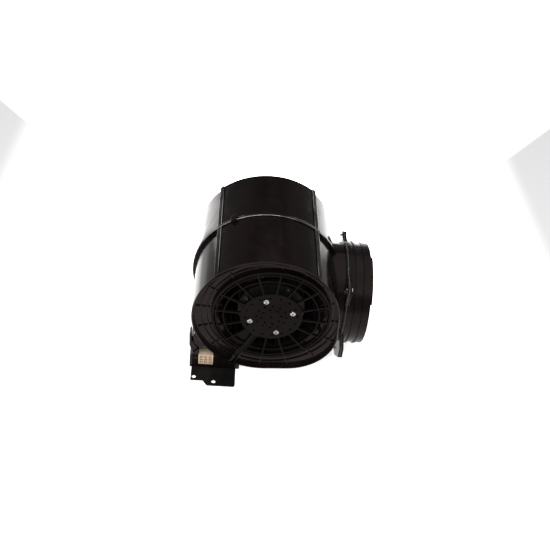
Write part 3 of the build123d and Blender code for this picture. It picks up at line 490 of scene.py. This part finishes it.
def islands(node):
    """The lowest and highest corners of each separate solid in a CAD node."""
    work = bmesh.new()
    work.from_mesh(frame["nodes"][node].data)
    bmesh.ops.remove_doubles(work, verts=work.verts, dist=SAME_POINT)
    left = set(work.verts)
    boxes = []
    while left:
        stack = [left.pop()]
        points = []
        while stack:
            vertex = stack.pop()
            points.append(vertex.co.copy())
            for edge in vertex.link_edges:
                other = edge.other_vert(vertex)
                if other in left:
                    left.remove(other)
                    stack.append(other)
        low = Vector(min(point[axis] for point in points) for axis in range(3))
        high = Vector(max(point[axis] for point in points) for axis in range(3))
        boxes.append((low, high))
    work.free()
    return sorted(boxes, key=lambda box: tuple(box[0]))


def lathe(work, outline, steps=48):
    """Turns an outline of (radius, height) points about Z."""
    points = [work.verts.new((radius, 0, height)) for radius, height in outline]
    edges = [work.edges.new(pair) for pair in zip(points, points[1:])]
    bmesh.ops.spin(
        work,
        geom=points + edges,
        cent=(0, 0, 0),
        axis=(0, 0, 1),
        angle=2 * math.pi,
        steps=steps,
        use_merge=True,
    )
    bmesh.ops.remove_doubles(work, verts=work.verts, dist=SAME_RING_POINT)


def tapered_block(work, size, place=(0, 0, 0), taper=1.0):
    """A block whose lower end along Z is narrower by a factor."""
    block = bmesh.ops.create_cube(work, size=1.0)["verts"]
    for vertex in block:
        narrow = taper if vertex.co.z < 0 else 1.0
        vertex.co = Vector(
            (
                vertex.co.x * size[0] * narrow + place[0],
                vertex.co.y * size[1] * narrow + place[1],
                vertex.co.z * size[2] + place[2],
            )
        )


def cross_head(radius, height):
    """A domed screw head with a cross recess and a thin washer face, standing on Z = 0."""

    def dome(work):
        outline = [(0.0, height)]
        for step in range(1, DOME_STEPS + 1):
            angle = math.pi / 2 * step / DOME_STEPS
            rise = DOME_FOOT + DOME_RISE * math.cos(angle)
            outline.append((radius * DOME_RADIUS * math.sin(angle), height * rise))
        outline += [(radius, height * RIM_HEIGHT), (radius * RIM_FOOT, 0.0), (0.0, 0.0)]
        lathe(work, outline)

    def arm(size):
        return lambda work: tapered_block(work, size, (0, 0, height * CROSS_MIDDLE), CROSS_TAPER)

    length = radius * CROSS_LENGTH
    width = radius * CROSS_WIDTH
    head = cut(mesh_from(dome), arm((length, width, height)))
    return cut(head, arm((width, length, height)))


def joined(parts):
    """One mesh from several (mesh, matrix) pairs."""
    work = bmesh.new()
    for mesh, matrix in parts:
        copy = mesh.copy()
        copy.transform(matrix)
        work.from_mesh(copy)
        bpy.data.meshes.remove(copy)
    result = bpy.data.meshes.new("joined")
    work.to_mesh(result)
    work.free()
    return result


def facing(place, ahead, turn=0.0):
    """The matrix that stands a piece at a place with its Z along a direction."""
    basis = Vector(ahead).to_track_quat("Z", "Y").to_matrix().to_4x4()
    return Matrix.Translation(place) @ basis @ Matrix.Rotation(turn, 4, "Z")


def shank(radius, length):
    """A threaded shank that hangs below Z = 0."""

    def thread(work):
        pitch = radius * THREAD_PITCH
        outline = [(radius * THREAD_START, 0.0)]
        for turn in range(int(length / pitch)):
            depth = -pitch * (turn + 0.5)
            outline += [(radius, depth), (radius * THREAD_ROOT, depth - pitch / 2)]
        outline += [(radius * THREAD_TIP, -length), (0.0, -length)]
        lathe(work, outline, steps=24)

    return mesh_from(thread)


def add_screws(node, name, head_radius, head_height, shank_radius, ahead):
    """Cross-head screws in place of a CAD node's plain ones."""
    ahead = Vector(ahead)
    head = cross_head(head_radius, head_height)
    parts = []
    for low, high in islands(node):
        middle = (low + high) / 2
        extent = abs((high - low).dot(ahead))
        seat = middle + ahead * (extent / 2 - head_height)
        stand = facing(seat, ahead, random.uniform(*SCREW_TURNS))
        parts.append((head, stand))
        parts.append((shank(shank_radius, extent - head_height), stand))
    mesh = joined(parts)
    shade_by_angle(mesh, degrees=28)
    piece = piece_from(mesh, name, "screw_zinc")
    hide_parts(node)


def rounded_block(size, rounding, segments):
    """A block with bevelled edges."""
    block = mesh_from(lambda work: tapered_block(work, size))
    return baked(block, "block", ("BEVEL", {"width": rounding, "segments": segments}))


def add_connector():
    """The nine-way connector: cavities with a lead-in, side ears, keys and a grooved top."""
    low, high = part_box("connector_housing")
    size = high - low
    middle = (low + high) / 2
    ways = [((box[0] + box[1]) / 2) for box in islands("connector_contacts")]

    def cavities(work):
        for way in ways:
            place = way - middle
            cavity = (CAVITY_WIDTH, size.y, CAVITY_HEIGHT)
            tapered_block(work, cavity, (place.x, -CAVITY_AHEAD, place.z))

    def grooves(work):
        for shift in GROOVE_SHIFTS:
            groove = (GROOVE_WIDTH, size.y * 2, GROOVE_DEPTH)
            tapered_block(work, groove, (shift * size.x, 0, size.z / 2))

    shell = rounded_block(size, SHELL_ROUND, 2)
    shell = cut(shell, cavities, CAVITY_ROUND)
    shell = cut(shell, grooves)
    shade_by_angle(shell, degrees=30)

    ear = rounded_block(EAR_SIZE, EAR_ROUND, 3)
    key = rounded_block(KEY_SIZE, KEY_ROUND, 2)
    parts = [(shell, Matrix.Translation(middle))]
    for side in (-1, 1):
        place = middle + Vector((side * (size.x / 2 + EAR_OUT), -EAR_AHEAD, size.z * EAR_UP))
        parts.append((ear, Matrix.Translation(place)))
    for shift in KEY_SHIFTS:
        place = middle + Vector((shift * size.x, -KEY_AHEAD, -size.z / 2))
        parts.append((key, Matrix.Translation(place)))
    piece = piece_from(joined(parts), "nine_way_connector", "connector_ivory")
    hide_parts("connector_housing")


def add_contacts():
    """Rolled tin sockets, one in each cavity."""

    def socket(work):
        lathe(work, [(radius * MM, height * MM) for radius, height in SOCKET_OUTLINE], steps=20)

    tube = mesh_from(socket)
    parts = []
    for low, high in islands("connector_contacts"):
        middle = (low + high) / 2
        parts.append((tube, facing(Vector((middle.x, low.y, middle.z)), (0, -1, 0))))
    mesh = joined(parts)
    shade_by_angle(mesh)
    piece = piece_from(mesh, "socket_contacts", "contact_tin")
    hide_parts("connector_contacts")


def softened(node, bevel, **settings):
    """A copy of a CAD node's mesh with flat faces merged and its sharp edges bevelled."""
    source = frame["nodes"][node].data.copy()
    work = bmesh.new()
    work.from_mesh(source)
    bmesh.ops.remove_doubles(work, verts=work.verts, dist=SAME_POINT)
    bmesh.ops.dissolve_limit(work, angle_limit=FLAT, verts=work.verts, edges=work.edges)
    work.to_mesh(source)
    work.free()
    mesh = baked(source, node, ("BEVEL", {"width": bevel, "angle_limit": BEVELLED, **settings}))
    shade_by_angle(mesh)
    return mesh


def add_gasket():
    """The foam gasket, with rounded edges."""
    mesh = softened("outlet_gasket", GASKET_ROUND, segments=2)
    piece = piece_from(mesh, "squeezed_gasket", "gasket_foam")
    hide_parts("outlet_gasket")


def add_clips():
    """Snap clips over the seam, their bevelled edges painted with a pale highlight."""
    mesh = softened("seam_clips", CLIP_EDGE, segments=1, material=1)
    shown = [face.material_index for face in mesh.polygons]
    piece = piece_from(mesh, "snap_clips", "housing_plastic")
    # The bevel faces take the painted-highlight look as their second material
    mesh.materials.append(PAINTED_HIGHLIGHT_LOOK)
    for face, index in zip(mesh.polygons, shown):
        face.material_index = index
    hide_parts("seam_clips")


def convex_edges(node, wanted):
    """Pairs of end points of a CAD node's convex sharp edges that pass a test."""
    work = bmesh.new()
    work.from_mesh(frame["nodes"][node].data)
    bmesh.ops.remove_doubles(work, verts=work.verts, dist=SAME_POINT)
    pairs = []
    for edge in work.edges:
        if len(edge.link_faces) == 2 and edge.calc_face_angle_signed() > SHARP:
            first, last = (vertex.co.copy() for vertex in edge.verts)
            if wanted(first, last):
                pairs.append((first, last))
    work.free()
    return pairs


def on_lip_front(first, last):
    """An edge of the seam lip's front face, clear of the outlet neck."""
    depths = (point.y - FAN.y - LIP_FRONT for point in (first, last))
    return all(abs(depth) < NEAR for depth in depths) and max(first.x, last.x) < FAN.x + NECK_START


def on_panel_ridge(first, last):
    """A long edge of the panel ridges, along the fan axis and near the top."""
    along = abs(first.y - last.y) > RIDGE_LENGTH and abs(first.x - last.x) < NEAR
    return along and min(first.z, last.z) > FAN.z + RIDGE_HEIGHT


def add_edge_beads():
    """Thin beads of painted highlight, pale lines round the seam lip and along the panel ridges."""
    curve = bpy.data.curves.new("bead", "CURVE")
    curve.dimensions = "3D"
    curve.bevel_depth = BEAD
    curve.bevel_resolution = 2
    for node in ("front_scroll_half", "rear_scroll_half"):
        pairs = convex_edges(node, on_lip_front) + convex_edges(node, on_panel_ridge)
        for pair in pairs:
            spline = curve.splines.new("POLY")
            spline.points.add(1)
            for point, place in zip(spline.points, pair):
                outward = Vector((place.x - FAN.x, 0, place.z - FAN.z)).normalized()
                point.co = (*(place - outward * BEAD), 1)
    holder = bpy.data.objects.new("bead", curve)
    mesh = bpy.data.meshes.new_from_object(holder)
    bpy.data.objects.remove(holder)
    shade_by_angle(mesh, degrees=60)
    piece = piece_from(mesh, "painted_highlight_beads", "housing_plastic")
    # The beads take the pale painted-highlight colour
    piece.data.materials[0] = PAINTED_HIGHLIGHT_LOOK


def add_bushes():
    """Waisted rubber bushes between the motor's mounts and the hub plate."""
    parts = []
    for low, high in islands("rubber_bushes"):
        length = high.y - low.y
        outer = (high.x - low.x) / 2

        def bush(work):
            outline = [(BUSH_BORE, 0.0)]
            outline += [(outer * waist, length * share) for share, waist in BUSH_OUTLINE]
            outline += [(BUSH_BORE, length), (BUSH_BORE, 0.0)]
            lathe(work, outline, steps=32)

        middle = (low + high) / 2
        parts.append((mesh_from(bush), facing(Vector((middle.x, low.y, middle.z)), (0, 1, 0))))
    mesh = joined(parts)
    shade_by_angle(mesh, degrees=50)
    piece = piece_from(mesh, "waisted_bushes", "bush_rubber")
    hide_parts("rubber_bushes")


def add_lead():
    """The motor lead's sleeve, creased a little where it was pushed into its channel."""
    creases = bpy.data.textures.new("creases", "CLOUDS")
    creases.noise_scale = CREASE_SIZE
    creases.noise_depth = 1
    crease = {"texture": creases, "strength": CREASE_DEPTH, "mid_level": 0.9, "texture_coords": "LOCAL"}
    mesh = baked(
        frame["nodes"]["motor_lead"].data.copy(),
        "lead",
        ("REMESH", {"mode": "VOXEL", "voxel_size": SLEEVE_VOXEL}),
        ("SMOOTH", {"factor": 0.5, "iterations": 6}),
        ("DISPLACE", crease),
    )
    mesh.shade_smooth()
    piece = piece_from(mesh, "creased_lead", "lead_sleeve")
    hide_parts("motor_lead")


add_edge_beads()
add_bushes()
add_lead()
add_screws(
    "motor_mount_screws",
    "motor_cross_screws",
    head_radius=4.0 * MM,
    head_height=2.5 * MM,
    shank_radius=1.95 * MM,
    ahead=(0, -1, 0),
)
add_screws(
    "outlet_flange_screws",
    "flange_cross_screws",
    head_radius=3.6 * MM,
    head_height=2.2 * MM,
    shank_radius=1.75 * MM,
    ahead=(1, 0, 0),
)
add_connector()
add_contacts()
add_gasket()
add_clips()


# ---------------------------------------------------------------- studio and camera


# The floor's glow: its strength, and the distances aside or behind, or the slope, where it changes
FRONT_GLOW = 0.7
FRONT_EDGE = (0.44, 0.52)
BESIDE_GLOW = 2.0
BESIDE_EDGE = (0.25, 0.31)
BESIDE_START = (-0.05, 0.12)
REAR_GLOW = 4.5
REAR_SLOPE = (1.07, 1.15)
FLOOR_HALF = 6.0
FLOOR_GAP = 0.0005


def stage_material():
    """A white floor that glows unevenly: weakly around the object, more close beside it and most behind."""
    look = Surface("stage", (0.8, 0.8, 0.8), 0.9, Specular_IOR_Level=0.1)
    split = look.nodes.new("ShaderNodeSeparateXYZ")
    look.links.new(look.place, split.inputs[0])
    aside = look.sum(split.outputs["X"], 0.0, "ABSOLUTE")
    slope = look.sum(split.outputs["Y"], aside, "DIVIDE")
    around = look.spread(aside, *FRONT_EDGE, FRONT_GLOW, 0.0)
    near = look.spread(aside, *BESIDE_EDGE, BESIDE_GLOW, 0.0)
    beside = look.times(near, look.spread(split.outputs["Y"], *BESIDE_START))
    behind = look.spread(slope, *REAR_SLOPE, 0.0, REAR_GLOW)
    glow = look.sum(look.sum(around, beside, "MAXIMUM"), behind, "MAXIMUM")
    look.shader.inputs["Emission Color"].default_value = (1, 1, 1, 1)
    look.put(glow, look.shader.inputs["Emission Strength"])
    return look.done()


def add_floor():
    """A square floor just under the object."""
    mesh = bpy.data.meshes.new("floor")
    corners = [(x * FLOOR_HALF, y * FLOOR_HALF, 0) for x, y in ((-1, -1), (1, -1), (1, 1), (-1, 1))]
    mesh.from_pydata(corners, [], [(0, 1, 2, 3)])
    mesh.materials.append(stage_material())
    floor = bpy.data.objects.new("floor", mesh)
    bpy.context.scene.collection.objects.link(floor)
    floor.location.z = cad_box[0][2] - FLOOR_GAP


def add_light(name, place, size, power, target=(0, 0, 0.1)):
    """A soft box at a place, turned to a target."""
    lamp = bpy.data.lights.new(name, "AREA")
    lamp.shape = "RECTANGLE"
    lamp.size, lamp.size_y = size
    lamp.energy = power
    light = bpy.data.objects.new(name, lamp)
    light.location = place
    light.rotation_euler = (Vector(target) - Vector(place)).to_track_quat("-Z", "Y").to_euler()
    light.visible_camera = False
    bpy.context.scene.collection.objects.link(light)


# Share of the sky's strength at each sine of elevation
SKY_STRENGTH = 2.0
SKY = (
    (0.0, 0.2), (0.3, 0.12), (0.5, 0.11), (0.57, 0.05),
    (0.64, 0.06), (0.7, 0.5), (0.8, 0.5), (0.95, 0.8),
)


def add_world():
    """A sky that is dim at the horizon, darkest half way up, and bright overhead."""
    world = bpy.data.worlds.new("studio")
    bpy.context.scene.world = world
    world.use_nodes = True
    nodes, links = world.node_tree.nodes, world.node_tree.links
    direction = nodes.new("ShaderNodeTexCoord").outputs["Generated"]
    split = nodes.new("ShaderNodeSeparateXYZ")
    links.new(direction, split.inputs[0])
    ramp = nodes.new("ShaderNodeValToRGB")
    ramp.color_ramp.interpolation = "EASE"
    stops = ramp.color_ramp.elements
    stops[0].position, stops[1].position = SKY[0][0], SKY[-1][0]
    for height, _ in SKY[1:-1]:
        stops.new(height)
    for stop, (_, level) in zip(stops, SKY):
        stop.color = (level, level, level, 1)
    links.new(split.outputs["Z"], ramp.inputs["Fac"])
    links.new(ramp.outputs["Color"], nodes["Background"].inputs["Color"])
    nodes["Background"].inputs["Strength"].default_value = SKY_STRENGTH


def add_camera():
    """The camera looks down on the front, turned a little about the fan axis."""
    distance = 1.039
    elevation = math.radians(45.6)
    above = math.radians(3.16)
    aside = math.radians(0.4)
    roll = Matrix.Rotation(math.radians(-5.5), 3, "Y")
    place = roll @ Vector((0, -math.cos(elevation), math.sin(elevation))) * distance
    pitch = elevation - above
    ahead = Vector((math.sin(aside) * math.cos(pitch), math.cos(aside) * math.cos(pitch), -math.sin(pitch)))
    right = ahead.cross(Vector((0, 0, 1))).normalized()
    up = right.cross(ahead)
    turn = Matrix((right, up, -ahead)).transposed()
    camera = bpy.data.objects.new("camera", bpy.data.cameras.new("camera"))
    camera.data.lens = 50
    camera.data.sensor_width = 36
    camera.matrix_world = Matrix.Translation(FAN + place) @ (roll @ turn).to_4x4()
    bpy.context.scene.collection.objects.link(camera)
    bpy.context.scene.camera = camera


add_floor()
add_world()
add_light("key", place=(-0.5, -1.1, 1.25), size=(1.3, 0.2), power=12)
add_light("fill", place=(0.9, -0.9, 1.15), size=(0.8, 0.2), power=6)
add_camera()
bpy.context.scene.view_settings.view_transform = "Standard"
